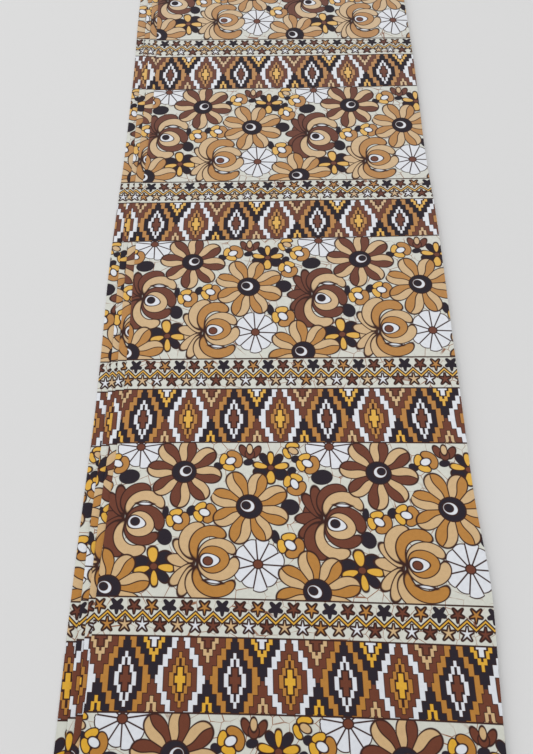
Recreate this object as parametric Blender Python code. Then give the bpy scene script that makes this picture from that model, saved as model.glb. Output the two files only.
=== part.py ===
"""A three-yard length of printed cotton, folded in a zigzag of seven panels and laid flat.

X runs across the folded bundle, Y along the cloth's width from the near selvedge to the far
one, and Z is up. The origin is under the middle of the bundle, on the surface that it lies on.
"""

import math
from typing import NamedTuple

import bmesh
import bpy
from mathutils import Vector

# Driving dimensions in metres
MM = 0.001
CLOTH_WIDTH = 1150.0 * MM
WALL = 1.0 * MM
LAYER_GAP = 0.3 * MM
PANEL_COUNT = 7

# How the folded edges are drawn
STATION_COUNT = 24
FOLD_STEPS = 6
PANEL_STEPS = 8
TUCK_DEPTH = 14.0 * MM
CORE_INSET = 9.0 * MM
RIGHT_FOLD_INSETS = (2.0 * MM, 3.5 * MM, 2.5 * MM)

LAYER_PITCH = WALL + LAYER_GAP
FOLD_RADIUS = LAYER_PITCH / 2.0


class EdgeRow(NamedTuple):
    """Where the layers end at one place along the cloth's width, in millimetres."""

    along: float
    top_fold: float
    second_fold: float
    third_fold: float
    bottom_end: float
    top_end: float


# The three folds and the bottom panel's end show at the left, the top panel's end at the right
EDGE_ROWS = (
    EdgeRow(-575.0, -191.0, -198.0, -204.5, -214.5, 204.0),
    EdgeRow(-500.0, -189.0, -196.5, -204.5, -214.5, 207.5),
    EdgeRow(-400.0, -188.0, -195.5, -204.0, -214.5, 213.5),
    EdgeRow(-300.0, -183.5, -193.0, -202.0, -213.0, 210.0),
    EdgeRow(-200.0, -179.5, -189.5, -198.5, -211.0, 211.0),
    EdgeRow(-100.0, -179.0, -190.0, -198.5, -211.5, 212.0),
    EdgeRow(0.0, -180.0, -191.0, -200.0, -213.0, 213.5),
    EdgeRow(100.0, -180.5, -191.0, -199.5, -211.5, 214.0),
    EdgeRow(200.0, -177.0, -189.0, -196.5, -209.0, 212.0),
    EdgeRow(300.0, -174.5, -187.0, -197.5, -208.5, 213.5),
    EdgeRow(400.0, -175.5, -188.0, -197.0, -208.5, 215.0),
    EdgeRow(500.0, -179.5, -189.5, -198.0, -210.5, 214.5),
    EdgeRow(575.0, -180.0, -191.0, -198.0, -210.5, 214.0),
)


class Ridge(NamedTuple):
    """A long soft ridge in the top panel, in millimetres, and its heading in degrees from Y."""

    across: float
    along: float
    length: float
    width: float
    height: float
    heading: float


RIDGES = (
    Ridge(46.0, 60.0, 620.0, 46.0, 0.9, 1.5),
    Ridge(52.0, -470.0, 260.0, 60.0, 0.7, -4.0),
    Ridge(-96.0, -300.0, 240.0, 70.0, 0.8, 6.0),
    Ridge(-70.0, 330.0, 300.0, 60.0, 0.6, -5.0),
    Ridge(150.0, -120.0, 330.0, 52.0, 0.7, 4.0),
    Ridge(172.0, 400.0, 240.0, 40.0, 0.6, -3.0),
)

CREAM_PRINT = (0.50, 0.33, 0.20, 1.0)
FOLDED_PRINT = (0.40, 0.25, 0.15, 1.0)
COTTON_ROUGHNESS = 0.85


def clear_scene():
    """Remove every object that the file starts with."""
    for item in list(bpy.data.objects):
        bpy.data.objects.remove(item, do_unlink=True)


def smooth_between(values, place):
    """Read a list of evenly weighted values at a fractional index, on a smooth curve."""
    last = len(values) - 1
    index = min(int(place), last - 1)
    t = place - index
    before = values[max(index - 1, 0)]
    start = values[index]
    end = values[index + 1]
    after = values[min(index + 2, last)]
    return 0.5 * (
        2.0 * start
        + (end - before) * t
        + (2.0 * before - 5.0 * start + 4.0 * end - after) * t**2
        + (3.0 * start - before - 3.0 * end + after) * t**3
    )


def edges_at(along):
    """Give the edge row, in metres, at one place along the cloth's width."""
    along_mm = along / MM
    index = 0
    while index < len(EDGE_ROWS) - 2 and along_mm > EDGE_ROWS[index + 1].along:
        index += 1
    start = EDGE_ROWS[index].along
    end = EDGE_ROWS[index + 1].along
    place = index + (along_mm - start) / (end - start)
    columns = list(zip(*EDGE_ROWS))[1:]
    return EdgeRow(along, *(smooth_between(column, place) * MM for column in columns))


def station_places(half_length):
    """Give the places along the cloth's width where the sections stand."""
    steps = STATION_COUNT - 1
    return [half_length * (2.0 * station / steps - 1.0) for station in range(STATION_COUNT)]


def bundle_centre():
    """Give the middle of the bundle across, between its outermost edges."""
    rows = [edges_at(along) for along in station_places(0.5 * CLOTH_WIDTH)]
    return 0.5 * (min(row.bottom_end for row in rows) + max(row.top_end for row in rows))


def ridge_height(across, along):
    """Give the height of the soft ridges at one place on the top panel."""
    height = 0.0
    for ridge in RIDGES:
        turn = math.radians(ridge.heading)
        dx = across / MM - ridge.across
        dy = along / MM - ridge.along
        side = dx * math.cos(turn) - dy * math.sin(turn)
        run = dx * math.sin(turn) + dy * math.cos(turn)
        reach = math.hypot(side / ridge.width, run / (0.5 * ridge.length))
        if reach < 1.0:
            height += ridge.height * MM * 0.5 * (1.0 + math.cos(math.pi * reach))
    return height


def panel_level(panel):
    """Give the height of the middle of one panel's wall; panel 1 is the top one."""
    return 0.5 * WALL + (PANEL_COUNT - panel) * LAYER_PITCH


def fold_points(edge, upper_panel, side):
    """Half a turn from one panel down to the next, round a fold whose outer side is at edge.

    side is -1 for a fold at the left and 1 for one at the right.
    """
    centre_x = edge - side * (FOLD_RADIUS + 0.5 * WALL)
    centre_z = panel_level(upper_panel) - FOLD_RADIUS
    points = []
    for step in range(FOLD_STEPS + 1):
        angle = math.pi * step / FOLD_STEPS
        points.append(
            (
                centre_x + side * FOLD_RADIUS * math.sin(angle),
                centre_z + FOLD_RADIUS * math.cos(angle),
            )
        )
    return points


def top_layer_path(edges):
    """The middle line of the top panel, its fold at the left and the tuck under it."""
    fold = fold_points(edges.top_fold, 1, -1)
    level = panel_level(1)
    points = []
    for step in range(PANEL_STEPS):
        x = edges.top_end + (fold[0][0] - edges.top_end) * step / PANEL_STEPS
        points.append((x, level + ridge_height(x, edges.along)))
    points += fold
    points.append((edges.top_fold + TUCK_DEPTH, panel_level(2)))
    return points


def hidden_layers_path(edges):
    """The middle line of panels two to seven, from where the top layer's tuck ends."""
    right_edges = [edges.top_end - inset for inset in RIGHT_FOLD_INSETS]
    points = [(edges.top_fold + TUCK_DEPTH + LAYER_GAP, panel_level(2))]
    points += fold_points(right_edges[0], 2, 1)
    points += fold_points(edges.second_fold, 3, -1)
    points += fold_points(right_edges[1], 4, 1)
    points += fold_points(edges.third_fold, 5, -1)
    points += fold_points(right_edges[2], 6, 1)
    points.append((edges.bottom_end, panel_level(PANEL_COUNT)))
    return points


def core_ring(edges):
    """Section of the block that joins the hidden layers inside their edges."""
    left = edges.top_fold + TUCK_DEPTH + CORE_INSET
    right = edges.top_end - max(RIGHT_FOLD_INSETS) - CORE_INSET
    low = panel_level(PANEL_COUNT)
    high = panel_level(2)
    return [(left, low), (right, low), (right, high), (left, high)]


def wall_ring(path):
    """Turn a middle line into the closed section of a wall of even thickness."""
    outer = []
    inner = []
    for index, (x, z) in enumerate(path):
        before = path[max(index - 1, 0)]
        after = path[min(index + 1, len(path) - 1)]
        run = Vector((after[0] - before[0], after[1] - before[1])).normalized()
        side = Vector((-run.y, run.x)) * (0.5 * WALL)
        outer.append((x + side.x, z + side.y))
        inner.append((x - side.x, z - side.y))
    return outer + inner[::-1]


def loft(name, section, half_length):
    """Join sections along Y into one closed mesh and give its object.

    section takes an EdgeRow and gives a closed ring of (x, z) points.
    """
    shape = bmesh.new()
    centre = bundle_centre()
    rings = []
    for along in station_places(half_length):
        ring = section(edges_at(along))
        rings.append([shape.verts.new((x - centre, along, z)) for x, z in ring])
    for near, far in zip(rings, rings[1:]):
        for index in range(len(near)):
            nxt = (index + 1) % len(near)
            shape.faces.new((near[index], near[nxt], far[nxt], far[index]))
    for ring in (rings[0], rings[-1]):
        close_section(shape, ring)
    bmesh.ops.recalc_face_normals(shape, faces=shape.faces[:])
    mesh = bpy.data.meshes.new(name)
    shape.to_mesh(mesh)
    shape.free()
    item = bpy.data.objects.new(name, mesh)
    bpy.context.scene.collection.objects.link(item)
    return item


def close_section(shape, ring):
    """Close one end of a loft with quads from the ring's one side to its other."""
    last = len(ring) - 1
    for index in range(len(ring) // 2 - 1):
        corners = (ring[index], ring[index + 1], ring[last - index - 1], ring[last - index])
        shape.faces.new(corners)


def finish(item, name, colour):
    """Give an object its material and shade its round stretches smooth."""
    material = bpy.data.materials.new(name + "_cotton")
    material.use_nodes = True
    shader = material.node_tree.nodes["Principled BSDF"]
    shader.inputs["Base Color"].default_value = colour
    shader.inputs["Roughness"].default_value = COTTON_ROUGHNESS
    shader.inputs["Metallic"].default_value = 0.0
    item.data.materials.append(material)
    item.data.shade_smooth()
    item.data.set_sharp_from_angle(angle=math.radians(50.0))


def build_top_layer():
    """The top panel with its cut end at the right and its fold tucked under at the left."""
    item = loft("top_layer", lambda edges: wall_ring(top_layer_path(edges)), 0.5 * CLOTH_WIDTH)
    finish(item, "top_layer", CREAM_PRINT)


def build_hidden_layers():
    """The six panels underneath: one solid in the middle, separate folds round its edges."""
    item = loft(
        "hidden_layers",
        lambda edges: wall_ring(hidden_layers_path(edges)),
        0.5 * CLOTH_WIDTH,
    )
    core = loft("core", core_ring, 0.5 * CLOTH_WIDTH - CORE_INSET)
    core.hide_render = True
    core.display_type = "WIRE"
    join = item.modifiers.new("core", "BOOLEAN")
    join.operation = "UNION"
    join.object = core
    finish(item, "hidden_layers", FOLDED_PRINT)


def main():
    """Build the folded cloth."""
    clear_scene()
    build_top_layer()
    build_hidden_layers()


main()
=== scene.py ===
"""A three-yard length of printed cotton, folded in a zigzag and laid flat, as a dressed model.

The frame's X runs across the folded bundle, Y along the cloth's width from the near selvedge to
the far one, and Z is up. Sizes are in metres where nothing else is said. The print is charted in
steps, one step being the distance between two neighbouring stepped diamonds.
"""

import logging
import math
from abc import ABC, abstractmethod
from dataclasses import dataclass
from enum import Enum

import bmesh
import bpy
from mathutils import Euler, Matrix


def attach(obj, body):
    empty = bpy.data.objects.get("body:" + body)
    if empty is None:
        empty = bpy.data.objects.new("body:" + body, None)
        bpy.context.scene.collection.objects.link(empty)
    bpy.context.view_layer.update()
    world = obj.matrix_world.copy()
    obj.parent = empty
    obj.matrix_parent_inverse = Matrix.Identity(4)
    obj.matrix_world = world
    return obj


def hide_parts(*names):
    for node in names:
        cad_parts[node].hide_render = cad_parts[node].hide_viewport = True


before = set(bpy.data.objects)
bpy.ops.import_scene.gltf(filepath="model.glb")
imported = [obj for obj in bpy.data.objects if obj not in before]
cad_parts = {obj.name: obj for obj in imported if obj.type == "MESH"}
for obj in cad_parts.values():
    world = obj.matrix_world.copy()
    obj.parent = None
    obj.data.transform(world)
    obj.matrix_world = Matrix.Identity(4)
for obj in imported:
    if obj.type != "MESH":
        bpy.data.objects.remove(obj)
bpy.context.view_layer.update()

LOG = logging.getLogger("folded_cotton")

MM = 0.001
CLOTH_WIDTH = 1150.0 * MM
PRINT_MAP = "print"
ROOT_BODY = "root"

# The print's own measures, in steps
STEP = 53.3 * MM
REPEAT_ACROSS = 4.0
DIAMOND_BAND = 1.29
DIAMOND_MIDDLE = 0.735
FLOWER_BAND = 3.37
STAR_BAND = 0.73
REPEAT_DOWN = DIAMOND_BAND + FLOWER_BAND + STAR_BAND
HALF_LINE = 0.0115
STEP_LINE = 0.007
BAND_LINE = 0.016
INK_BLEED = 0.011
# A staircase is read up to STEP_REACH, and STEP_SHIFT tells a narrow step from none
STEP_REACH = 1.3
STEP_SHIFT = 0.05
# A wrap between limits this far off leaves a place where it is
FAR_OFF = 99.0
# The cosine of the heading at which a lean leaves a petal in its place
LEAN_LEVEL = 0.47
# How far the sine behind uneven petals goes from one petal to the next, in radians
UNEVEN_TURN = 2.4

# A Mix node's inputs for two places and for two colours
MIX_PLACES = (4, 5)
MIX_COLOURS = (6, 7)
# A colour ramp gives this many numbers at once
RAMP_PARTS = 3

# Where each step starts and half of the shape's width from there, or 0 where it has ended
Staircase = tuple[tuple[float, float], ...]
# A place in space, or a value at three places in a row
Three = tuple[float, float, float]


class Ink(Enum):
    """The print's colours, as judged red, green and blue values from 0 to 255."""

    CREAM = (217, 218, 208)
    WHITE = (229, 232, 238)
    BEIGE = (213, 180, 135)
    TAN = (188, 132, 65)
    BROWN = (113, 64, 47)
    YELLOW = (229, 177, 68)
    BLACK = (42, 35, 44)
    OUTLINE = (60, 33, 28)
    CRACKLE = (150, 104, 78)

    @property
    def colour(self) -> tuple[float, float, float, float]:
        """The ink as a linear colour for a shader socket."""
        red, green, blue = (linear(part / 255.0) for part in self.value)
        return (red, green, blue, 1.0)


# A shape's one ink, or its first and second
Inks = Ink | tuple[Ink, Ink]


def linear(value: float) -> float:
    """Turn one display value into a linear one.

    Args:
        value: The display value, from 0 to 1.

    Returns:
        The linear value, from 0 to 1.
    """
    if value <= 0.04045:
        return value / 12.92
    return ((value + 0.055) / 1.055) ** 2.4


class Wire:
    """An output in a node tree, for the next nodes to read."""

    def __init__(self, socket: bpy.types.NodeSocket) -> None:
        """Wrap an output socket."""
        self.socket = socket
        self.tree = socket.id_data

    def link(self, node: bpy.types.Node, entry: int | str) -> None:
        """Lead this output to one of a node's inputs."""
        self.tree.links.new(self.socket, node.inputs[entry])

    def into(self, kind: str, entry: int | str = 0) -> bpy.types.Node:
        """Add a node that reads this output.

        Args:
            kind: The node's type.
            entry: The input that the output goes to.

        Returns:
            The node.
        """
        node = self.tree.nodes.new(kind)
        self.link(node, entry)
        return node


class Term(Wire):
    """A number in a node tree, so that a formula can be written with the usual signs."""

    def worked(self, operation: str, *others: "Term | float") -> "Term":
        """Put this number and others through one Math node.

        Args:
            operation: The Math node's operation.
            others: The node's further inputs, each a Term or a constant.

        Returns:
            The result.
        """
        node = self.into("ShaderNodeMath")
        node.operation = operation
        for entry, value in enumerate(others, start=1):
            if isinstance(value, Term):
                value.link(node, entry)
            else:
                node.inputs[entry].default_value = value
        return Term(node.outputs[0])

    def __add__(self, other: "Term | float") -> "Term":
        """Add another number."""
        return self.worked("ADD", other)

    def __sub__(self, other: "Term | float") -> "Term":
        """Take another number away."""
        return self.worked("SUBTRACT", other)

    def __mul__(self, other: "Term | float") -> "Term":
        """Multiply by another number."""
        return self.worked("MULTIPLY", other)

    def __abs__(self) -> "Term":
        """Drop the sign."""
        return self.worked("ABSOLUTE")

    def scaled(self, factor: "Term | float", shift: "Term | float") -> "Term":
        """Multiply by a factor and add a shift."""
        return self.worked("MULTIPLY_ADD", factor, shift)

    def wrapped(self, low: float, high: float) -> "Term":
        """Bring the number between two limits by whole turns."""
        return self.worked("WRAP", high, low)

    def below(self, limit: "Term | float") -> "Term":
        """Give 1 where the number is below a limit, and 0 elsewhere."""
        return self.worked("LESS_THAN", limit)

    def above(self, limit: "Term | float") -> "Term":
        """Give 1 where the number is above a limit, and 0 elsewhere."""
        return self.worked("GREATER_THAN", limit)

    def least(self, other: "Term | float") -> "Term":
        """Give the smaller of two numbers."""
        return self.worked("MINIMUM", other)

    def most(self, other: "Term | float") -> "Term":
        """Give the larger of two numbers."""
        return self.worked("MAXIMUM", other)

    def floor(self) -> "Term":
        """Round down."""
        return self.worked("FLOOR")

    def root(self) -> "Term":
        """Take the square root."""
        return self.worked("SQRT")

    def clamped(self) -> "Term":
        """Keep the number between 0 and 1."""
        return Term(self.into("ShaderNodeClamp").outputs[0])

    def inked(self, grow: float = 0.0) -> "Term":
        """Turn a distance from a shape's edge into how much of its ink is there.

        Args:
            grow: How far the inked area reaches past the edge.

        Returns:
            1 or more inside, 0 or less outside, with a narrow slope where the ink bleeds; a
            Mix node keeps it between 0 and 1.
        """
        slope = 1.0 / INK_BLEED
        return self.scaled(-slope, 0.5 + grow * slope)

    def mixed(self, under: Wire | Ink, over: Wire | Ink) -> Wire:
        """Lay one colour over another, by as much as this number says.

        Args:
            under: The lower colour.
            over: The upper colour.

        Returns:
            The mixed colour.
        """
        node = self.into("ShaderNodeMix")
        node.data_type = "RGBA"
        for entry, colour in zip(MIX_COLOURS, (under, over)):
            if isinstance(colour, Ink):
                node.inputs[entry].default_value = colour.colour
            else:
                colour.link(node, entry)
        return Wire(node.outputs[2])

    def stepped(self, stairs: tuple[Staircase, ...]) -> list["Term"]:
        """Read staircases at this place.

        Args:
            stairs: The staircases, each with where its steps start and how wide they are.

        Returns:
            How wide each is there, more by STEP_SHIFT, or 0 where it has ended.
        """
        starts = sorted({start for stair in stairs for start, _ in stair})
        spot = self * (1.0 / STEP_REACH)
        terms = []
        for first in range(0, len(stairs), RAMP_PARTS):
            group = stairs[first : first + RAMP_PARTS]
            node = spot.into("ShaderNodeValToRGB")
            ramp = node.color_ramp
            ramp.interpolation = "CONSTANT"
            while len(ramp.elements) < len(starts):
                ramp.elements.new(1.0)
            for element, place in zip(ramp.elements, starts):
                element.position = place / STEP_REACH
                widths = [step_width(stair, place) for stair in group]
                element.color = (*widths, *[0.0] * (RAMP_PARTS - len(widths)), 1.0)
            parts = Wire(node.outputs[0]).into("ShaderNodeSeparateColor")
            terms += [Term(output) for output in parts.outputs]
        return terms[: len(stairs)]


def step_width(stair: Staircase, place: float) -> float:
    """Read a staircase at one place.

    Args:
        stair: The staircase.
        place: Where it is read.

    Returns:
        How wide it is there, more by STEP_SHIFT, or 0 where it has ended.
    """
    width = [wide for start, wide in stair if start <= place][-1]
    return width + STEP_SHIFT if width else 0.0


def length(x: Term, y: Term) -> Term:
    """Give the distance of a place from the origin."""
    return x.scaled(x, y * y).root()


def heading(x: Term, y: Term) -> Term:
    """Give the heading of a place seen from the origin, in radians."""
    return y.worked("ARCTAN2", x)


@dataclass(frozen=True)
class Spot:
    """One place of a motif in the repeat: its origin in steps, its turn in degrees, its size.

    A second spot takes the second of each shape's two inks.
    """

    across: float
    down: float
    turn: float = 0.0
    size: tuple[float, float] = (1.0, 1.0)
    second: bool = False


class Place(Wire):
    """A place in the print, across and down, in a node tree."""

    @classmethod
    def joined(cls, x: Term, y: Term) -> "Place":
        """Put a place together.

        Args:
            x: How far the place is across.
            y: How far it is down.

        Returns:
            The place.
        """
        node = x.into("ShaderNodeCombineXYZ")
        y.link(node, 1)
        return cls(node.outputs[0])

    def split(self) -> tuple[Term, Term]:
        """Take the place apart into how far it is across and how far down."""
        node = self.into("ShaderNodeSeparateXYZ")
        return Term(node.outputs[0]), Term(node.outputs[1])

    def local(self, spot: Spot) -> "Place":
        """Turn a place in the repeat into a place seen from a spot.

        Args:
            spot: The spot.

        Returns:
            The place seen from the nearest copy of the spot.
        """
        half = 0.5 * REPEAT_ACROSS
        around = self.into("ShaderNodeVectorMath")
        around.operation = "WRAP"
        around.inputs[1].default_value = (spot.across + half, FAR_OFF, FAR_OFF)
        around.inputs[2].default_value = (spot.across - half, -FAR_OFF, -FAR_OFF)
        move = Wire(around.outputs[0]).into("ShaderNodeMapping", "Vector")
        move.vector_type = "TEXTURE"
        move.inputs["Location"].default_value = (spot.across, spot.down, 0.0)
        move.inputs["Rotation"].default_value = (0.0, 0.0, math.radians(spot.turn))
        move.inputs["Scale"].default_value = (*spot.size, 1.0)
        return Place(move.outputs[0])

    def distance(self, middle: tuple[float, float]) -> Term:
        """Give the distance from a fixed place.

        Args:
            middle: The fixed place, across and down.

        Returns:
            The distance.
        """
        node = self.into("ShaderNodeVectorMath")
        node.operation = "DISTANCE"
        node.inputs[1].default_value = (*middle, 0.0)
        return Term(node.outputs["Value"])

    def nearest(
        self, spots: tuple[Spot, ...], middle: tuple[float, float]
    ) -> tuple[Term, Term, Term | None]:
        """Turn a place in the repeat into a place seen from the spot that it belongs to.

        Args:
            spots: The motif's spots.
            middle: The motif's middle, seen from its origin.

        Returns:
            How far the place is across and down from the origin of the spot whose middle is
            nearest, and 1 where that spot is a second one, or None where no spot is.
        """
        chosen = self.local(spots[0])
        nearest = chosen.distance(middle)
        second = None
        for spot in spots[1:]:
            seen = self.local(spot)
            away = seen.distance(middle)
            closer = away.below(nearest)
            nearest = nearest.least(away)
            swap = closer.into("ShaderNodeMix")
            swap.data_type = "VECTOR"
            for entry, option in zip(MIX_PLACES, (chosen, seen)):
                option.link(swap, entry)
            chosen = Place(swap.outputs[1])
            if spot.second:
                second = closer if second is None else second.most(closer)
        return (*chosen.split(), second)


class Pattern(ABC):
    """A part of the print that becomes a node group of its own."""

    name: str

    @abstractmethod
    def paint(self, place: Place, under: Wire) -> Wire:
        """Paint the pattern over what is there.

        Args:
            place: The place in the pattern's band.
            under: The colour so far.

        Returns:
            The colour with the pattern on it.
        """

    def group(self) -> bpy.types.NodeTree:
        """Write the pattern as a node group.

        Returns:
            The group, which takes a place and the colour under the pattern.
        """
        tree = bpy.data.node_groups.new(self.name, "ShaderNodeTree")
        faces = tree.interface
        faces.new_socket("Place", in_out="INPUT", socket_type="NodeSocketVector")
        faces.new_socket("Under", in_out="INPUT", socket_type="NodeSocketColor")
        faces.new_socket("Colour", in_out="OUTPUT", socket_type="NodeSocketColor")
        entry = tree.nodes.new("NodeGroupInput")
        self.paint(Place(entry.outputs[0]), Wire(entry.outputs[1])).into("NodeGroupOutput")
        return tree

    def added(self, place: Place, under: Wire) -> Wire:
        """Put the pattern's group in the tree that a place is in.

        Args:
            place: The place in the pattern's band.
            under: The colour so far.

        Returns:
            The colour with the pattern on it.
        """
        node = place.tree.nodes.new("ShaderNodeGroup")
        node.node_tree = self.group()
        place.link(node, "Place")
        under.link(node, "Under")
        return Wire(node.outputs["Colour"])


class Shape(ABC):
    """A printed shape with a dark outline, placed from its motif's origin, in steps."""

    ink: Inks

    @abstractmethod
    def outside(self, x: Term, y: Term) -> Term:
        """Give the distance of a place from the shape's edge, negative inside.

        Args:
            x: How far the place is to the right of the motif's origin.
            y: How far it is below the origin.

        Returns:
            The distance, in steps.
        """

    def own_ink(self, second: Term | None) -> Wire | Ink:
        """Choose the shape's ink.

        Args:
            second: 1 where the second of two inks is wanted.

        Returns:
            The colour.
        """
        if isinstance(self.ink, Ink):
            return self.ink
        return self.ink[0] if second is None else second.mixed(*self.ink)

    def paint(self, x: Term, y: Term, second: Term | None, under: Wire) -> Wire:
        """Paint the shape's outline and then its ink over what is there.

        Args:
            x: How far the place is to the right of the motif's origin.
            y: How far it is below the origin.
            second: 1 where the shape takes its second ink.
            under: The colour so far.

        Returns:
            The colour with the shape on it.
        """
        outside = self.outside(x, y)
        colour = outside.inked(HALF_LINE).mixed(under, Ink.OUTLINE)
        return outside.inked(-HALF_LINE).mixed(colour, self.own_ink(second))


@dataclass(frozen=True)
class Oval(Shape):
    """An ellipse, or an egg where its one end is narrower."""

    x: float
    y: float
    half_length: float
    half_width: float
    turn: float
    ink: Inks
    egg: float = 0.0

    def outside(self, x: Term, y: Term) -> Term:
        """Give the distance from the oval's edge.

        Args:
            x: How far the place is to the right of the motif's origin.
            y: How far it is below the origin.

        Returns:
            The distance, in steps.
        """
        cos = math.cos(math.radians(self.turn))
        sin = math.sin(math.radians(self.turn))
        run_shift = -(self.x * cos + self.y * sin) / self.half_length
        side_shift = (self.x * sin - self.y * cos) / self.half_width
        run = y.scaled(sin / self.half_length, x.scaled(cos / self.half_length, run_shift))
        side = y.scaled(cos / self.half_width, x.scaled(-sin / self.half_width, side_shift))
        if self.egg:
            side = side * run.scaled(-self.egg, 1.0)
        smaller = min(self.half_length, self.half_width)
        return length(run, side).scaled(smaller, -smaller)


@dataclass(frozen=True)
class Comma(Shape):
    """A curved petal that starts slender and ends blunt, bent round a centre.

    The headings are in degrees from the right by way of below.
    """

    x: float
    y: float
    start_radius: float
    end_radius: float
    half_width: float
    start: float
    end: float
    ink: Inks
    taper: float = 0.75
    cap: float = 0.22

    def outside(self, x: Term, y: Term) -> Term:
        """Give the distance from the petal's edge.

        Args:
            x: How far the place is to the right of the motif's origin.
            y: How far it is below the origin.

        Returns:
            The distance, in steps.
        """
        across = x - self.x
        down = y - self.y
        middle = math.radians(0.5 * (self.start + self.end))
        span = math.radians(self.end - self.start)
        turn = (heading(across, down) - middle).wrapped(-math.pi, math.pi)
        share = turn.scaled(1.0 / span, 0.5)
        radius = share.scaled(self.end_radius - self.start_radius, self.start_radius)
        rise = (length(across, down) - radius) * (1.0 / self.half_width)
        tail = share.scaled(-1.0 / self.taper, 1.0).most(0.0)
        cap = share.scaled(1.0 / self.cap, 1.0 - 1.0 / self.cap).most(0.0)
        ends = tail.scaled(tail, cap * cap)
        return rise.scaled(rise, ends).root().scaled(self.half_width, -self.half_width)


@dataclass(frozen=True)
class Petals(Shape):
    """A ring of like petals round the motif's origin."""

    count: int
    first: float
    middle: float
    half_length: float
    half_width: float
    ink: Inks
    gap: float = 0.0
    lean: float = 0.0
    uneven: float = 0.0
    egg: float = 0.0

    def local(self, x: Term, y: Term) -> tuple[Term, Term]:
        """Turn a place into one petal's own run and side.

        Args:
            x: How far the place is to the right of the origin.
            y: How far it is below the origin.

        Returns:
            The run along the petal and the side across it.
        """
        sector = 2.0 * math.pi / self.count
        angle = heading(x, y)
        if self.lean:
            lean = math.radians(self.lean)
            angle = angle.worked("COSINE").scaled(-lean, angle + LEAN_LEVEL * lean)
        place = angle.scaled(1.0 / sector, -math.radians(self.first) / sector)
        number = (place + 0.5).floor()
        turn = (place - number) * sector
        reach = length(x, y)
        if self.uneven:
            reach = reach * (number * UNEVEN_TURN).worked("SINE").scaled(self.uneven, 1.0)
        return reach * turn.worked("COSINE"), reach * turn.worked("SINE")

    def outside(self, x: Term, y: Term) -> Term:
        """Give the distance from the petals' edges."""
        return self.edge(*self.local(x, y))

    def edge(self, run: Term, side: Term) -> Term:
        """Give the distance from one petal's edge.

        Args:
            run: The run along the petal.
            side: The side across it.

        Returns:
            The distance, in steps.
        """
        along = run.scaled(1.0 / self.half_length, -self.middle / self.half_length)
        across = side * (1.0 / self.half_width)
        if self.egg:
            across = across * along.scaled(-self.egg, 1.0)
        oval = length(along, across).scaled(self.half_width, -self.half_width)
        return oval.most(self.wedge(run, side))

    def wedge(self, run: Term, side: Term) -> Term:
        """Give the distance from the lines between one petal and the next."""
        half_sector = math.pi / self.count
        return abs(side).scaled(math.cos(half_sector), run.scaled(-math.sin(half_sector), self.gap))


@dataclass(frozen=True)
class HalvedPetals(Petals):
    """Petals with a curved vein along the middle and another ink past it."""

    other_ink: Ink = Ink.BEIGE
    bow: float = 0.10
    sway: float = 0.03

    def paint(self, x: Term, y: Term, second: Term | None, under: Wire) -> Wire:
        """Paint the petals in their two inks.

        Args:
            x: How far the place is to the right of the motif's origin.
            y: How far it is below the origin.
            second: 1 where the first half takes its second ink.
            under: The colour so far.

        Returns:
            The colour with the petals on it.
        """
        run, side = self.local(x, y)
        outside = self.edge(run, side)
        colour = outside.inked(HALF_LINE).mixed(under, Ink.OUTLINE)
        filled = outside.inked(-HALF_LINE)
        past = run - self.middle
        swayed = (past * (math.pi / self.half_length)).worked("SINE")
        vein = swayed.scaled(self.sway, side - past * self.bow)
        other = vein.inked()
        filled = filled.least((abs(vein) * -1.0).inked(-HALF_LINE))
        inks = other.mixed(self.own_ink(second), self.other_ink)
        return filled.mixed(colour, inks)


@dataclass(frozen=True)
class WedgePetals(Petals):
    """Petals like the slices of a pie, with ends that are almost straight."""

    round_end: float = 2.6

    def edge(self, run: Term, side: Term) -> Term:
        """Give the distance from one slice's edge."""
        end = (side * side).scaled(self.round_end, run - (self.middle + self.half_length))
        return end.most(self.wedge(run, side))


@dataclass(frozen=True)
class Motif(Pattern):
    """A group of shapes that stands at one or more spots of the repeat."""

    name: str
    spots: tuple[Spot, ...]
    shapes: tuple[Shape, ...]
    middle: tuple[float, float] = (0.0, 0.0)

    def paint(self, place: Place, under: Wire) -> Wire:
        """Paint the motif's shapes at its spots.

        Args:
            place: The place in the repeat.
            under: The colour so far.

        Returns:
            The colour with the motif on it.
        """
        x, y, second = place.nearest(self.spots, self.middle)
        colour = under
        for shape in self.shapes:
            colour = shape.paint(x, y, second, colour)
        return colour


@dataclass(frozen=True)
class BlackOvals(Pattern):
    """Plain black ovals and leaves; each spot's size gives its half length and half width."""

    name: str
    spots: tuple[Spot, ...]

    def paint(self, place: Place, under: Wire) -> Wire:
        """Paint the ovals.

        Args:
            place: The place in the repeat.
            under: The colour so far.

        Returns:
            The colour with the ovals on it.
        """
        outside = None
        for spot in self.spots:
            smaller = min(spot.size)
            edge = length(*place.local(spot).split()).scaled(smaller, -smaller)
            outside = edge if outside is None else outside.least(edge)
        return outside.inked().mixed(under, Ink.BLACK)


BLACK_OVALS = BlackOvals(
    "black ovals",
    (
        Spot(-0.20, 0.80, -10.0, (0.225, 0.17)),
        Spot(3.12, 1.465, 0.0, (0.19, 0.175)),
        Spot(0.60, 2.135, 70.0, (0.18, 0.155)),
        Spot(2.305, 0.465, -14.0, (0.115, 0.08)),
        Spot(1.673, 0.56, 30.0, (0.105, 0.085)),
        Spot(3.19, 0.667, -50.0, (0.11, 0.09)),
        Spot(0.602, 1.61, 96.0, (0.145, 0.07)),
        Spot(1.125, 1.565, 120.0, (0.125, 0.095)),
        Spot(2.80, 2.10, 78.0, (0.15, 0.085)),
        Spot(3.29, 0.394, 0.0, (0.10, 0.09)),
    ),
)

# The first ink is for the rose at the first spot, the second for the one at the second
ROSE_FOLD = (Ink.BROWN, Ink.BEIGE)
ROSE_HEART = (Ink.BEIGE, Ink.TAN)

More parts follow.
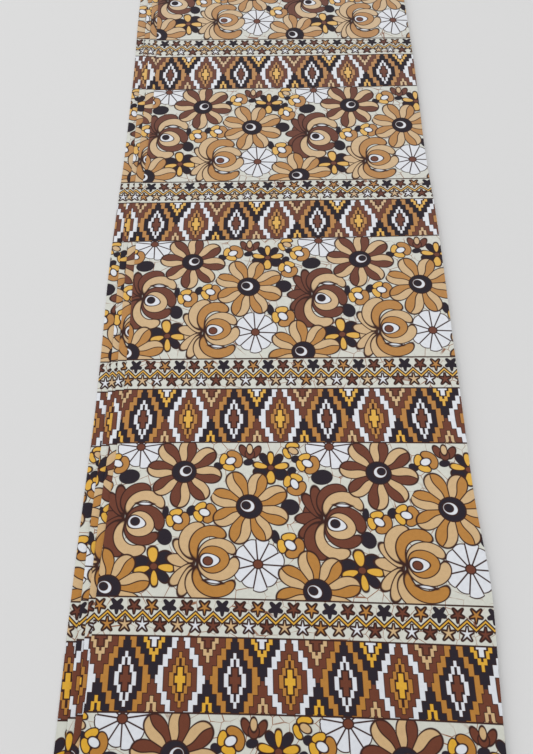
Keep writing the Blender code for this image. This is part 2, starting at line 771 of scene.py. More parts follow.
ROSE = Motif(
    "rose",
    (
        Spot(-0.27, 1.70),
        Spot(1.19, 2.675, 11.0, (1.03, -1.0), True),
    ),
    (
        Oval(-0.17, 0.0, 0.36, 0.20, 90.0, ROSE_FOLD),
        Oval(-0.275, 0.0, 0.25, 0.125, -3.0, ROSE_FOLD),
        Oval(-0.23, 0.20, 0.30, 0.12, 138.0, ROSE_FOLD, 0.15),
        Oval(-0.175, -0.27, 0.30, 0.115, 58.0, ROSE_FOLD, -0.15),
        Oval(-0.06, -0.38, 0.325, 0.115, 82.0, ROSE_FOLD, -0.15),
        Comma(0.09, 0.45, 0.36, 0.345, 0.12, 255.0, 96.0, ROSE_FOLD),
        Comma(0.36, -0.305, 0.345, 0.32, 0.125, 135.0, 303.0, ROSE_FOLD),
        Comma(0.31, 0.42, 0.41, 0.29, 0.12, 240.0, 52.0, ROSE_HEART),
        Comma(0.43, -0.115, 0.335, 0.37, 0.12, 165.0, 350.0, ROSE_HEART),
        Comma(0.43, 0.18, 0.31, 0.33, 0.115, 206.0, 30.0, ROSE_FOLD),
        Comma(0.43, 0.19, 0.36, 0.315, 0.12, 198.0, 379.0, ROSE_FOLD),
        Oval(0.44, -0.285, 0.165, 0.034, 3.0, Ink.WHITE),
        Oval(0.37, 0.165, 0.29, 0.275, 20.0, ROSE_HEART, -0.12),
        Oval(0.295, 0.127, 0.19, 0.138, 14.0, Ink.WHITE, -0.3),
        Oval(0.26, 0.105, 0.092, 0.088, 0.0, (Ink.BLACK, Ink.BROWN)),
    ),
    (0.16, 0.0),
)

LARGE_FLOWER = Motif(
    "large flower",
    (
        Spot(0.955, 0.693, 7.0),
        Spot(2.30, 1.46, 19.5, (1.03, 1.03), True),
        Spot(3.545, 3.20, 33.0, (1.03, 1.03), True),
    ),
    (
        HalvedPetals(8, 0.0, 0.48, 0.305, 0.19, (Ink.BROWN, Ink.TAN), uneven=0.035, egg=0.2),
        Oval(0.0, 0.0, 0.255, 0.25, 0.0, Ink.BLACK),
    ),
)

FLOWER_EYE = Motif(
    "flower eye",
    (
        Spot(0.99, 0.676, -32.0),
        Spot(2.265, 1.447, 203.0, (1.07, 1.07)),
        Spot(3.495, 3.19, 212.0, (1.05, 1.0)),
    ),
    (
        Oval(0.0, 0.0, 0.142, 0.127, 0.0, Ink.WHITE),
        Oval(0.028, 0.0, 0.082, 0.078, 0.0, Ink.BLACK),
    ),
)

DAISY = Motif(
    "daisy",
    (Spot(0.0, 0.105, 0.0, (0.97, 0.98)), Spot(2.445, 2.67, 12.0, (0.99, 1.06))),
    (
        WedgePetals(11, 8.0, 0.28, 0.22, 0.0, Ink.WHITE, gap=0.003, uneven=0.05),
        Oval(0.0, 0.0, 0.095, 0.085, 0.0, Ink.BROWN),
    ),
)

SMALL_FLOWER = Motif(
    "small flower",
    (Spot(2.765, 0.592, -4.0, (0.90, -0.88)), Spot(0.42, 2.75)),
    (
        Petals(4, 45.0, 0.25, 0.18, 0.12, Ink.BLACK, lean=20.0, egg=0.15),
        Oval(0.0, 0.0, 0.13, 0.12, 0.0, Ink.BLACK),
        Petals(4, 0.0, 0.24, 0.175, 0.082, Ink.YELLOW, lean=12.0, egg=0.3),
        Oval(0.0, 0.0, 0.08, 0.072, 0.0, Ink.BROWN),
    ),
)

RING_FLOWER = Motif(
    "ring flower",
    (
        Spot(1.93, 0.437, -30.0),
        Spot(3.525, 0.49, 25.0),
        Spot(3.235, 0.955, 65.0, (1.05, 0.95)),
        Spot(0.85, 1.757, 33.0),
        Spot(1.395, 1.603, 12.0),
        Spot(3.085, 2.27, 37.0, (1.1, 1.1)),
    ),
    (
        Oval(0.0, 0.0, 0.14, 0.13, 0.0, Ink.OUTLINE),
        Comma(0.015, 0.0, 0.15, 0.15, 0.088, -93.0, 93.0, Ink.TAN, 0.2, 0.2),
        Comma(0.0, 0.0, 0.16, 0.16, 0.073, 90.0, 180.0, Ink.YELLOW, 0.25, 0.25),
        Comma(0.0, 0.0, 0.16, 0.16, 0.073, 180.0, 270.0, Ink.YELLOW, 0.25, 0.25),
        Oval(0.0, 0.0, 0.115, 0.082, 5.0, Ink.WHITE),
    ),
)

TULIP = Motif(
    "brown tulip",
    (Spot(2.335, 0.205),),
    (
        Oval(-0.13, 0.0, 0.15, 0.08, 66.0, Ink.BROWN),
        Oval(0.14, 0.02, 0.15, 0.08, 120.0, Ink.BROWN),
        Oval(0.0, 0.07, 0.12, 0.10, 90.0, Ink.BROWN),
        Oval(0.0, -0.04, 0.12, 0.065, 90.0, Ink.BEIGE),
    ),
)

YELLOW_BUD = Motif(
    "yellow bud",
    (Spot(3.245, 0.20),),
    (
        Comma(0.0, 0.0, 0.145, 0.145, 0.058, 205.0, 325.0, Ink.YELLOW, 0.3, 0.3),
        Comma(0.0, 0.0, 0.165, 0.165, 0.058, 108.0, 202.0, Ink.YELLOW, 0.3, 0.3),
        Oval(0.0, 0.0, 0.115, 0.075, 30.0, Ink.BEIGE),
    ),
)

# Each is painted over the ones before it
FLOWER_BAND_PATTERNS = (
    DAISY,
    BLACK_OVALS,
    TULIP,
    YELLOW_BUD,
    SMALL_FLOWER,
    RING_FLOWER,
    ROSE,
    LARGE_FLOWER,
    FLOWER_EYE,
)

# Outwards from a diamond's middle, each with half its widths: outer, wide and slim ring, line, core
DIAMOND_STAIRS = (
    ((0.0, 0.460), (0.076, 0.414), (0.236, 0.332), (0.424, 0.256), (0.548, 0.173)),
    ((0.0, 0.306), (0.200, 0.226), (0.340, 0.158), (0.520, 0.073), (0.654, 0.045)),
    ((0.0, 0.205), (0.117, 0.143), (0.243, 0.088), (0.373, 0.033), (0.470, 0.0)),
    ((0.0, 0.114), (0.092, 0.070), (0.222, 0.018), (0.346, 0.0)),
    ((0.0, 0.101), (0.066, 0.052), (0.210, 0.0)),
)
# Down from the band's top: the V between two diamonds, the line inside it, and its core
VALLEY_STAIRS = (
    ((0.0, 0.204), (0.116, 0.145), (0.220, 0.091), (0.330, 0.034), (0.446, 0.0)),
    ((0.0, 0.122), (0.068, 0.074), (0.200, 0.016), (0.262, 0.0)),
    ((0.0, 0.098), (0.058, 0.050), (0.190, 0.0)),
)
# Up from the band's bottom: the small peak between two diamonds and the hole in it
PEAK_STAIRS = (
    ((0.0, 0.120), (0.028, 0.092), (0.174, 0.036), (0.278, 0.0)),
    ((0.0, 0.032), (0.028, 0.018), (0.140, 0.0)),
)


@dataclass(frozen=True)
class DiamondBand(Pattern):
    """Stepped diamonds by turns with a black and a white ring, and the steps between them."""

    name: str = "diamond band"

    def paint(self, place: Place, under: Wire) -> Wire:
        """Paint the band, which covers all that is under it.

        Args:
            place: The place in the band.
            under: The colour so far; not used, as the band covers it.

        Returns:
            The band's colour.
        """
        u, down = place.split()
        colour = self.between(u, down)
        number = (u + 0.5).floor()
        pale = number.wrapped(0.0, 2.0).above(0.5)
        inks = (
            pale.mixed(Ink.TAN, Ink.WHITE),
            pale.mixed(Ink.BLACK, Ink.BROWN),
            pale.mixed(Ink.WHITE, Ink.TAN),
            pale.mixed(Ink.BLACK, Ink.OUTLINE),
            pale.mixed(Ink.BROWN, Ink.YELLOW),
        )
        x = abs(u - number)
        y = abs(down - DIAMOND_MIDDLE)
        return self.nested(x, y, DIAMOND_STAIRS, inks, colour)

    def nested(
        self, x: Term, y: Term, stairs: tuple[Staircase, ...], inks: tuple[Wire, ...], under: Wire
    ) -> Wire:
        """Paint nested stepped shapes, each with its outline, over what is there.

        Args:
            x: The distance from the shapes' middle line.
            y: The place that the staircases are read at.
            stairs: The shapes' staircases.
            inks: The shapes' inks.
            under: The colour so far.

        Returns:
            The colour with the shapes on it.
        """
        colour = under
        outer = (y - STEP_LINE).stepped(stairs)
        inner = (y + STEP_LINE).stepped(stairs)
        place = x + STEP_SHIFT
        for ink, wide, narrow in zip(inks, outer, inner):
            colour = (place - wide).inked(STEP_LINE).mixed(colour, Ink.OUTLINE)
            colour = (place - narrow).inked(-STEP_LINE).mixed(colour, ink)
        return colour

    def between(self, u: Term, down: Term) -> Wire:
        """Paint what lies between the diamonds: a stepped V above and a small peak below.

        Args:
            u: The place across the repeat.
            down: The place below the band's top.

        Returns:
            The colour.
        """
        gap = u.floor()
        brown_above = gap.wrapped(0.0, 2.0).above(0.5)
        x = abs(u - gap - 0.5)
        turned = abs(brown_above - down.above(DIAMOND_MIDDLE))
        ground = turned.mixed(Ink.BLACK, Ink.BROWN)
        bright = turned.mixed(Ink.YELLOW, Ink.BEIGE)
        core = brown_above.mixed(Ink.WHITE, Ink.BROWN)
        colour = self.nested(x, down, VALLEY_STAIRS, (bright, ground, core), ground)
        rise = down.scaled(-1.0, DIAMOND_BAND)
        return self.nested(x, rise, PEAK_STAIRS, (bright, ground), colour)


@dataclass(frozen=True)
class StarBand(Pattern):
    """Two rows of small stars with a zigzag line between them."""

    name: str = "star band"
    count: float = 3.0
    first: float = -0.243
    ink_cycle: float = 3.0
    last_tan: float = 10.5
    zigzag: float = 0.365
    zigzag_slope: float = 0.32
    zigzag_slant: float = 0.75
    zigzag_line: float = 0.042
    zigzag_ink: float = 0.014
    upper: float = 0.176
    lower: float = 0.520
    arm: float = 0.122
    arm_half_width: float = 0.060
    arm_taper: float = 0.21
    tall: float = 1.12
    spread: float = 1.2
    star_line: float = 0.036

    def paint(self, place: Place, under: Wire) -> Wire:
        """Paint the band.

        Args:
            place: The place in the band.
            under: The colour so far.

        Returns:
            The colour with the band on it.
        """
        u, down = place.split()
        lower = down.above(self.zigzag)
        along = (u - self.first).scaled(self.count, lower * -0.5)
        number = (along + 0.5).floor()
        x = (along - number) * (1.0 / self.count)
        rise = down - lower.scaled(self.lower - self.upper, self.upper)
        y = rise * lower.scaled(-2.0 / self.tall, 1.0 / self.tall)
        edge = self.star_edge(x * y.scaled(self.spread, 1.0), y)
        colour = edge.inked().mixed(under, Ink.OUTLINE)
        colour = edge.inked(-self.star_line).mixed(colour, self.star_ink(number, lower))
        black = number.wrapped(0.0, self.ink_cycle).below(0.5).least(lower.below(0.5))
        colour = edge.inked().least(black).mixed(colour, Ink.BLACK)
        wave = abs(((u - self.first) * self.count).wrapped(-0.5, 0.5))
        centre = self.zigzag + 0.25 * self.zigzag_slope
        line = abs(down - wave.scaled(-self.zigzag_slope, centre)) * self.zigzag_slant
        colour = line.inked(self.zigzag_line).mixed(colour, Ink.OUTLINE)
        return line.inked(self.zigzag_ink).mixed(colour, Ink.YELLOW)

    def star_ink(self, number: Term, lower: Term) -> Wire:
        """Choose a star's ink by its number and row.

        Args:
            number: The star's number across.
            lower: 1 in the lower row, 0 in the upper.

        Returns:
            The ink's colour.
        """
        third = number.wrapped(0.0, self.ink_cycle)
        second = third.above(0.5)
        last = third.above(1.5)
        upper = last.mixed(Ink.BROWN, Ink.TAN)
        under = last.mixed(second.mixed(Ink.BEIGE, Ink.WHITE), Ink.BROWN)
        tan = number.wrapped(0.0, self.count * REPEAT_ACROSS).above(self.last_tan)
        return lower.mixed(upper, tan.mixed(under, Ink.TAN))

    def star_edge(self, x: Term, y: Term) -> Term:
        """Give the distance from the edge of a five-armed star with one arm down.

        Args:
            x: The place across, from the star's centre.
            y: The place down, from its centre.

        Returns:
            The distance, negative inside.
        """
        sector = 0.4 * math.pi
        turn = (heading(x, y) - 0.5 * math.pi).wrapped(-0.5 * sector, 0.5 * sector)
        size = length(x, y)
        run = size * turn.worked("COSINE")
        side = size * turn.worked("SINE")
        past = (run - self.arm).most(0.0)
        return length(past, side) + run.scaled(self.arm_taper, -self.arm_half_width)


@dataclass(frozen=True)
class PrintedCotton:
    """The cloth's finish: the print in its bands, crackle in the dye, a fine plain weave, and
    painted shade and light.
    """

    name: str = "printed_cotton"
    roughness: float = 0.85
    specular: float = 0.22
    sheen: float = 0.03
    sheen_roughness: float = 0.5
    weave_threads: float = 1400.0
    weave_depth: float = 0.05
    weave_strength: float = 0.25
    crackle_size: float = 3.2
    crackle_vein: float = 0.019
    patch_size: float = 2.3
    patch_detail: float = 3.0
    patch_contrast: tuple[float, float] = (6.0, -2.3)
    selvedge: float = 0.565
    cloud_size: float = 260.0
    cloud_detail: float = 4.0
    cloud_contrast: tuple[float, float] = (0.22, 0.89)
    # Painted shade and light: the next two darken the near end, the last two make the far end less
    # saturated, as a pale wash of light
    near_shade_depth: float = 0.32
    near_shade_start: float = 1.10
    far_haze: float = 0.18
    strength: float = 0.93

    def material(self) -> bpy.types.Material:
        """Make the material.

        Returns:
            The material, which reads the mesh's own print map.
        """
        material = bpy.data.materials.new(self.name)
        material.use_nodes = True
        tree = material.node_tree
        shader = tree.nodes["Principled BSDF"]
        shader.inputs["Roughness"].default_value = self.roughness
        shader.inputs["Metallic"].default_value = 0.0
        shader.inputs["Specular IOR Level"].default_value = self.specular
        shader.inputs["Sheen Weight"].default_value = self.sheen
        shader.inputs["Sheen Roughness"].default_value = self.sheen_roughness
        chart = tree.nodes.new("ShaderNodeUVMap")
        chart.uv_map = PRINT_MAP
        colour = self.printed(Place(chart.outputs[0]))
        self.worn_and_shaded(colour).link(shader, "Base Color")
        self.weave(shader)
        return material

    def printed(self, place: Place) -> Wire:
        """Paint the print's bands.

        Args:
            place: The place in the print.

        Returns:
            The print's colour.
        """
        u, v = place.split()
        down = (v + DIAMOND_MIDDLE).wrapped(0.0, REPEAT_DOWN)
        ground = self.crackle(place)
        colour = ground
        flowers = Place.joined(u, down - DIAMOND_BAND)
        for pattern in FLOWER_BAND_PATTERNS:
            colour = pattern.added(flowers, colour)
        star_start = DIAMOND_BAND + FLOWER_BAND
        stars = StarBand().added(Place.joined(u, down - star_start), ground)
        colour = down.above(star_start).mixed(colour, stars)
        diamonds = DiamondBand().added(Place.joined(u, down), colour)
        colour = down.below(DIAMOND_BAND).mixed(colour, diamonds)
        return self.lines(down, colour)

    def crackle(self, place: Place) -> Wire:
        """Paint the cream ground with fine broken veins of dye.

        Args:
            place: The place in the print.

        Returns:
            The ground's colour.
        """
        cells = place.into("ShaderNodeTexVoronoi", "Vector")
        cells.feature = "DISTANCE_TO_EDGE"
        cells.inputs["Scale"].default_value = self.crackle_size
        broken = self.noise(place, self.patch_size, self.patch_detail)
        vein = Term(cells.outputs["Distance"]).inked(self.crackle_vein).clamped()
        patchy = broken.scaled(*self.patch_contrast).clamped()
        return (vein * patchy).mixed(Ink.CREAM, Ink.CRACKLE)

    def noise(self, place: Place, size: float, detail: float) -> Term:
        """Read a noise texture.

        Args:
            place: The place that it is read at.
            size: The texture's scale.
            detail: Its detail.

        Returns:
            The noise, about 0.5 on average.
        """
        node = place.into("ShaderNodeTexNoise", "Vector")
        node.inputs["Scale"].default_value = size
        node.inputs["Detail"].default_value = detail
        return Term(node.outputs[0])

    def lines(self, down: Term, colour: Wire) -> Wire:
        """Paint the thin dark lines along the bands' edges.

        Args:
            down: The place down the repeat.
            colour: The colour so far.

        Returns:
            The colour with the lines on it.
        """
        first = abs(down - DIAMOND_BAND)
        second = abs(down - (DIAMOND_BAND + FLOWER_BAND))
        third = down.least(down.scaled(-1.0, REPEAT_DOWN))
        return first.least(second).least(third).inked(BAND_LINE).mixed(colour, Ink.OUTLINE)

    def worn_and_shaded(self, colour: Wire) -> Wire:
        """Leave the selvedges plain, the dye a little uneven, and paint shade near and pale light
        far.

        Args:
            colour: The print's colour.

        Returns:
            The finished colour.
        """
        place = Place(colour.tree.nodes.new("ShaderNodeTexCoord").outputs["Object"])
        _, along = place.split()
        colour = abs(along).above(self.selvedge).mixed(colour, Ink.CREAM)
        cloud = self.noise(place, self.cloud_size, self.cloud_detail)
        level = cloud.scaled(*self.cloud_contrast)
        # Painted shade: the value drops towards the near end, to about 0.92 at the near selvedge
        near_shade = along.scaled(self.near_shade_depth, self.near_shade_start).least(1.0)
        # Painted light: the saturation falls towards the far end, a pale haze of light
        far_haze_saturation = along.scaled(-self.far_haze, self.strength)
        shade = (level * near_shade).into("ShaderNodeHueSaturation", "Value")
        far_haze_saturation.link(shade, "Saturation")
        colour.link(shade, "Color")
        return Wire(shade.outputs[0])

    def weave(self, shader: bpy.types.Node) -> None:
        """Raise a plain weave of warp and weft, too fine to show but as a soft tooth.

        Args:
            shader: The material's shader.
        """
        place = shader.id_data.nodes.new("ShaderNodeTexCoord").outputs["Object"]
        warp, weft = Place(place).split()
        pitch = math.pi * self.weave_threads
        height = (warp * pitch).worked("SINE") * (weft * pitch).worked("SINE")
        bump = height.into("ShaderNodeBump", "Height")
        bump.inputs["Strength"].default_value = self.weave_strength
        bump.inputs["Distance"].default_value = self.weave_depth * MM
        Wire(bump.outputs[0]).link(shader, "Normal")


@dataclass(frozen=True)
class EdgeRow:
    """Where the layers end at one place along the cloth's width, in millimetres."""

    along: float
    top_fold: float
    second_fold: float
    third_fold: float
    bottom_end: float
    top_end: float


EDGE_ROWS = (
    EdgeRow(-575.0, -191.0, -198.0, -204.5, -214.5, 204.0),
    EdgeRow(-500.0, -189.0, -196.5, -204.5, -214.5, 207.5),
    EdgeRow(-400.0, -188.0, -195.5, -204.0, -214.5, 213.5),
    EdgeRow(-300.0, -183.5, -193.0, -202.0, -213.0, 210.0),
    EdgeRow(-200.0, -179.5, -189.5, -198.5, -211.0, 211.0),
    EdgeRow(-100.0, -179.0, -190.0, -198.5, -211.5, 212.0),
    EdgeRow(0.0, -180.0, -191.0, -200.0, -213.0, 213.5),
    EdgeRow(100.0, -180.5, -191.0, -199.5, -211.5, 214.0),
    EdgeRow(200.0, -177.0, -189.0, -196.5, -209.0, 212.0),
    EdgeRow(300.0, -174.5, -187.0, -197.5, -208.5, 213.5),
    EdgeRow(400.0, -175.5, -188.0, -197.0, -208.5, 215.0),
    EdgeRow(500.0, -179.5, -189.5, -198.0, -210.5, 214.5),
    EdgeRow(575.0, -180.0, -191.0, -198.0, -210.5, 214.0),
)


class BandLine(Enum):
    """A line across the print, as its place below the row of diamonds that it goes with."""

    DAISIES = -(DIAMOND_MIDDLE + STAR_BAND + 0.7)
    STARS = -(DIAMOND_MIDDLE + STAR_BAND)
    DIAMONDS = -DIAMOND_MIDDLE
    CENTRES = 0.0
    FLOWERS = DIAMOND_BAND - DIAMOND_MIDDLE
    ROSES = DIAMOND_BAND - DIAMOND_MIDDLE + 1.5


@dataclass(frozen=True)
class PrintRow:
    """Where one line of the print lies on the top panel, in millimetres.

    The repeats are counted from the far one. Each direction has the line's places at 0, 3 and 6
    steps across the print.
    """

    repeat: int
    line: BandLine
    across: Three
    along: Three

    @property
    def down(self) -> float:
        """The line's place down the print, in steps."""
        return self.repeat * REPEAT_DOWN + self.line.value


# From the far end towards the near one; the first and the last lie past the cloth's ends
PRINT_ROWS = (
    PrintRow(-1, BandLine.FLOWERS, (-154.0, 7.5, 168.5), (634.0, 635.0, 636.0)),
    PrintRow(0, BandLine.DAISIES, (-151.8, 7.5, 168.1), (491.8, 492.9, 493.8)),
    PrintRow(0, BandLine.STARS, (-151.0, 7.5, 168.0), (448.5, 449.2, 450.0)),
    PrintRow(0, BandLine.DIAMONDS, (-151.8, 7.0, 167.7), (409.1, 410.6, 412.5)),
    PrintRow(0, BandLine.CENTRES, (-152.2, 6.6, 167.5), (369.5, 371.4, 374.0)),
    PrintRow(0, BandLine.FLOWERS, (-151.4, 7.4, 168.0), (337.5, 339.5, 342.4)),
    PrintRow(1, BandLine.DAISIES, (-151.2, 7.3, 168.8), (193.2, 192.0, 194.0)),
    PrintRow(1, BandLine.STARS, (-153.6, 4.8, 167.2), (154.8, 156.6, 158.6)),
    PrintRow(1, BandLine.DIAMONDS, (-154.8, 3.5, 166.4), (118.4, 120.0, 122.1)),
    PrintRow(1, BandLine.CENTRES, (-155.9, 2.4, 165.6), (80.5, 82.5, 86.3)),
    PrintRow(1, BandLine.FLOWERS, (-155.7, 2.4, 165.4), (53.0, 55.6, 58.8)),
    PrintRow(1, BandLine.ROSES, (-154.6, 3.2, 165.0), (-23.1, -22.0, -20.6)),
    PrintRow(2, BandLine.DAISIES, (-154.0, 3.6, 164.9), (-88.7, -88.4, -87.8)),
    PrintRow(2, BandLine.STARS, (-154.2, 2.1, 163.9), (-125.9, -125.6, -125.3)),
    PrintRow(2, BandLine.DIAMONDS, (-153.9, 2.0, 163.5), (-166.2, -166.7, -167.3)),
    PrintRow(2, BandLine.CENTRES, (-153.7, 2.0, 163.2), (-205.2, -205.4, -206.4)),
    PrintRow(2, BandLine.FLOWERS, (-153.5, 2.5, 164.6), (-234.3, -235.1, -237.2)),
    PrintRow(3, BandLine.STARS, (-153.3, 7.2, 172.0), (-405.2, -410.5, -417.0)),
    PrintRow(3, BandLine.DIAMONDS, (-152.4, 6.4, 167.4), (-443.3, -448.4, -455.6)),
    PrintRow(3, BandLine.CENTRES, (-152.0, 6.8, 167.0), (-483.4, -488.2, -495.2)),
    PrintRow(3, BandLine.FLOWERS, (-151.8, 7.0, 167.3), (-513.6, -518.0, -525.3)),
    PrintRow(4, BandLine.STARS, (-151.0, 8.0, 168.5), (-693.6, -697.8, -704.9)),
)
LAST_PLACE = 6.0


def bent(values: Three, share: float) -> float:
    """Read three evenly spaced values on a parabola.

    Args:
        values: The first, middle and last value.
        share: 0 at the first value and 1 at the last.

    Returns:
        The value there.
    """
    first, middle, last = values
    near = first * (1.0 - share) * (1.0 - 2.0 * share)
    return near + middle * 4.0 * share * (1.0 - share) + last * share * (2.0 * share - 1.0)


@dataclass(frozen=True)
class StripPrint:
    """How the print sits on one face-up panel, compared with the top one.

    The shift is in steps, at the cloth's near end, its middle and its far end. The pull is how
    much further towards the near end the print lies, as a share of the distance from
    PULL_CENTRE.
    """

    shift: Three
    pull: float


STRIP_PRINTS = {
    1: StripPrint((0.0, 0.0, 0.0), 0.0),
    3: StripPrint((1.9, 1.9, 1.9), 0.009),
    5: StripPrint((-0.30, -0.275, -0.29), 0.0154),
    7: StripPrint((0.018, 0.238, 0.058), 0.0215),
}
PULL_CENTRE = -205.0


@dataclass(frozen=True)
class PrintChart:
    """Turns a place on the laid cloth into a place in the print."""

    rounds: int = 7

    def position(self, share: float, down: float) -> tuple[float, float]:
        """Give where a place of the print lies on the top panel.

        Args:
            share: How far across the print the place is, from 0 at its first column to 1.
            down: How far down the print it is, in steps.

        Returns:
            The places across and along, in millimetres.
        """
        index = 0
        while index < len(PRINT_ROWS) - 2 and down > PRINT_ROWS[index + 1].down:
            index += 1
        near, far = PRINT_ROWS[index], PRINT_ROWS[index + 1]
        part = (down - near.down) / (far.down - near.down)
        across = bent(near.across, share) * (1.0 - part) + bent(far.across, share) * part
        along = bent(near.along, share) * (1.0 - part) + bent(far.along, share) * part
        return across, along

    def place(self, across: float, along: float, strip: StripPrint) -> tuple[float, float]:
        """Give the print's place at one place of the cloth.

        Args:
            across: The place across, unrolled from its panel, in millimetres.
            along: The place along the cloth's width, in millimetres.
            strip: How the print sits on that panel.

        Returns:
            The places across and down the print, in steps.
        """
        shift = bent(strip.shift, along * MM / CLOTH_WIDTH + 0.5)
        along -= strip.pull * (along - PULL_CENTRE)
        step = STEP / MM
        share, down = 0.5, 0.0
        for _ in range(self.rounds):
            x, y = self.position(share, down)
            share += (across - x) / (LAST_PLACE * step)
            down -= (along - y) / step
        return share * LAST_PLACE + shift, down


@dataclass(frozen=True)
class Ridge:
    """A long soft ridge in the top panel, in millimetres, and its heading in degrees from Y."""

    across: float
    along: float
    length: float
    width: float
    height: float
    heading: float


RIDGES = (
    Ridge(46.0, 60.0, 620.0, 46.0, 0.9, 1.5),
    Ridge(52.0, -470.0, 260.0, 60.0, 0.7, -4.0),
    Ridge(-96.0, -300.0, 240.0, 70.0, 0.8, 6.0),
    Ridge(-70.0, 330.0, 300.0, 60.0, 0.6, -5.0),
    Ridge(150.0, -120.0, 330.0, 52.0, 0.7, 4.0),
    Ridge(172.0, 400.0, 240.0, 40.0, 0.6, -3.0),
)


def ridge_height(across: float, along: float) -> float:
    """Give the height of the soft ridges at one place on the top panel.

    Args:
        across: The place across, in metres.
        along: The place along the cloth's width, in metres.

    Returns:
        The height above the flat panel, in metres.
    """
    height = 0.0
    for ridge in RIDGES:
        turn = math.radians(ridge.heading)
        dx = across / MM - ridge.across
        dy = along / MM - ridge.along
        side = dx * math.cos(turn) - dy * math.sin(turn)
        run = dx * math.sin(turn) + dy * math.cos(turn)
        reach = math.hypot(side / ridge.width, run / (0.5 * ridge.length))
        if reach < 1.0:
            height += ridge.height * MM * 0.5 * (1.0 + math.cos(math.pi * reach))
    return height


def edges_at(along: float) -> EdgeRow:
    """Give the edge row, in metres, at one place along the cloth's width.

    Args:
        along: The place along, in metres.

    Returns:
        The edges there, on a smooth curve between the table's rows.
    """
    along_mm = along / MM
    index = 0
    while index < len(EDGE_ROWS) - 2 and along_mm > EDGE_ROWS[index + 1].along:
        index += 1
    start, end = EDGE_ROWS[index], EDGE_ROWS[index + 1]
    before = EDGE_ROWS[max(index - 1, 0)]
    after = EDGE_ROWS[min(index + 2, len(EDGE_ROWS) - 1)]
    t = (along_mm - start.along) / (end.along - start.along)
    names = ("top_fold", "second_fold", "third_fold", "bottom_end", "top_end")
    values = []
    for name in names:
        a, b, c, d = (getattr(row, name) for row in (before, start, end, after))
        value = 0.5 * (
            2.0 * b
            + (c - a) * t
            + (2.0 * a - 5.0 * b + 4.0 * c - d) * t**2
            + (3.0 * b - a - 3.0 * c + d) * t**3
        )
        values.append(value * MM)
    return EdgeRow(along, *values)


@dataclass(frozen=True)
class PathPoint:
    """A point of a layer's middle line: its place, and where it lies in the unrolled print."""

    x: float
    z: float
    unrolled: float
    strip: StripPrint


@dataclass
class FoldedCloth(ABC):
    """What the top sheet and the folded sheet share: the stack's levels and how a sheet is bent."""

    wall: float = 1.0 * MM
    pitch: float = 1.3 * MM
    panels: int = 7
    cloth: float = 0.7 * MM
    centre: float = 0.26 * MM
    rows: int = 192
    fold_steps: int = 8
    sharp: float = math.radians(50.0)

    @property
    def arc(self) -> float:
        """The length of a fold's middle line."""
        return 0.5 * math.pi * self.pitch

    def level(self, panel: int) -> float:
        """Give the height of the middle of one panel's wall; panel 1 is the top one."""
        return 0.5 * self.wall + (self.panels - panel) * self.pitch

    def fold(self, edge: float, upper: int, side: int) -> list[tuple[float, float]]:
        """Turn from one panel down to the next.

        Args:
            edge: Where the fold's outer side is.
            upper: The panel above the fold.
            side: -1 for a fold at the left and 1 for one at the right.

        Returns:
            The points of half a circle, from the upper panel to the lower.
        """
        radius = 0.5 * self.pitch
        centre_x = edge - side * (radius + 0.5 * self.wall)
        centre_z = self.level(upper) - radius
        angles = [math.pi * step / self.fold_steps for step in range(self.fold_steps + 1)]
        return [
            (centre_x + side * radius * math.sin(angle), centre_z + radius * math.cos(angle))
            for angle in angles
        ]

    def left_fold(self, edge: float, panel: int) -> list[PathPoint]:
        """Give the left fold of a face-up panel.

        Args:
            edge: Where the fold's outer side is.
            panel: The face-up panel's number.

        Returns:
            The fold's points, from that panel down to the next.
        """
        turn = self.fold(edge, panel, -1)
        start = turn[0][0]
        return [
            PathPoint(x, z, start - self.arc * step / self.fold_steps, STRIP_PRINTS[panel])
            for step, (x, z) in enumerate(turn)
        ]

    @abstractmethod
    def path(self, edges: EdgeRow) -> list[PathPoint]:
        """Give the sheet's middle line at one place along the cloth's width.

        Args:
            edges: Where the layers end there.

        Returns:
            The line's points.
        """

    def bend(self, name: str, cotton: bpy.types.Material) -> bpy.types.Object:
        """Bend a flat grid along the sheet's path and give it the print's map and a wall.

        Args:
            name: The piece's name.
            cotton: The cloth's material.

        Returns:
            The finished object, at the origin.
        """
        chart = PrintChart()
        stations = [CLOTH_WIDTH * (row / self.rows - 0.5) for row in range(self.rows + 1)]
        paths = [self.path(edges_at(along)) for along in stations]
        columns = len(paths[0]) - 1
        shape = bmesh.new()
        bmesh.ops.create_grid(shape, x_segments=columns, y_segments=self.rows, size=0.5)
        spots = {}
        for vertex in shape.verts:
            row = round((vertex.co.y + 0.5) * self.rows)
            point = paths[row][round((vertex.co.x + 0.5) * columns)]
            along = stations[row]
            spots[vertex.index] = chart.place(point.unrolled / MM, along / MM, point.strip)
            vertex.co = (point.x - self.centre, along, point.z)
        layer = shape.loops.layers.uv.new(PRINT_MAP)
        for face in shape.faces:
            for loop in face.loops:
                loop[layer].uv = spots[loop.vert.index]
        piece = placed(name, meshed(name + "_sheet", shape))
        wall = piece.modifiers.new("wall", "SOLIDIFY")
        wall.thickness = self.cloth
        wall.offset = 0.0
        piece.data.materials.append(cotton)
        solid = bpy.data.meshes.new_from_object(
            piece.evaluated_get(bpy.context.evaluated_depsgraph_get())
        )
        piece.modifiers.clear()
        piece.data = solid
        solid.shade_smooth()
        solid.set_sharp_from_angle(angle=self.sharp)
        return piece


def meshed(name: str, shape: bmesh.types.BMesh) -> bpy.types.Mesh:
    """Turn a bmesh into a mesh and free it.

    Args:
        name: The mesh's name.
        shape: The bmesh.

    Returns:
        The mesh.
    """
    mesh = bpy.data.meshes.new(name)
    shape.to_mesh(mesh)
    shape.free()
    return mesh


def placed(name: str, data: bpy.types.ID) -> bpy.types.Object:
    """Make an object and put it in the scene.

    Args:
        name: The object's name.
        data: Its mesh, light or camera.

    Returns:
        The object.
    """
    item = bpy.data.objects.new(name, data)
    bpy.context.scene.collection.objects.link(item)
    return item


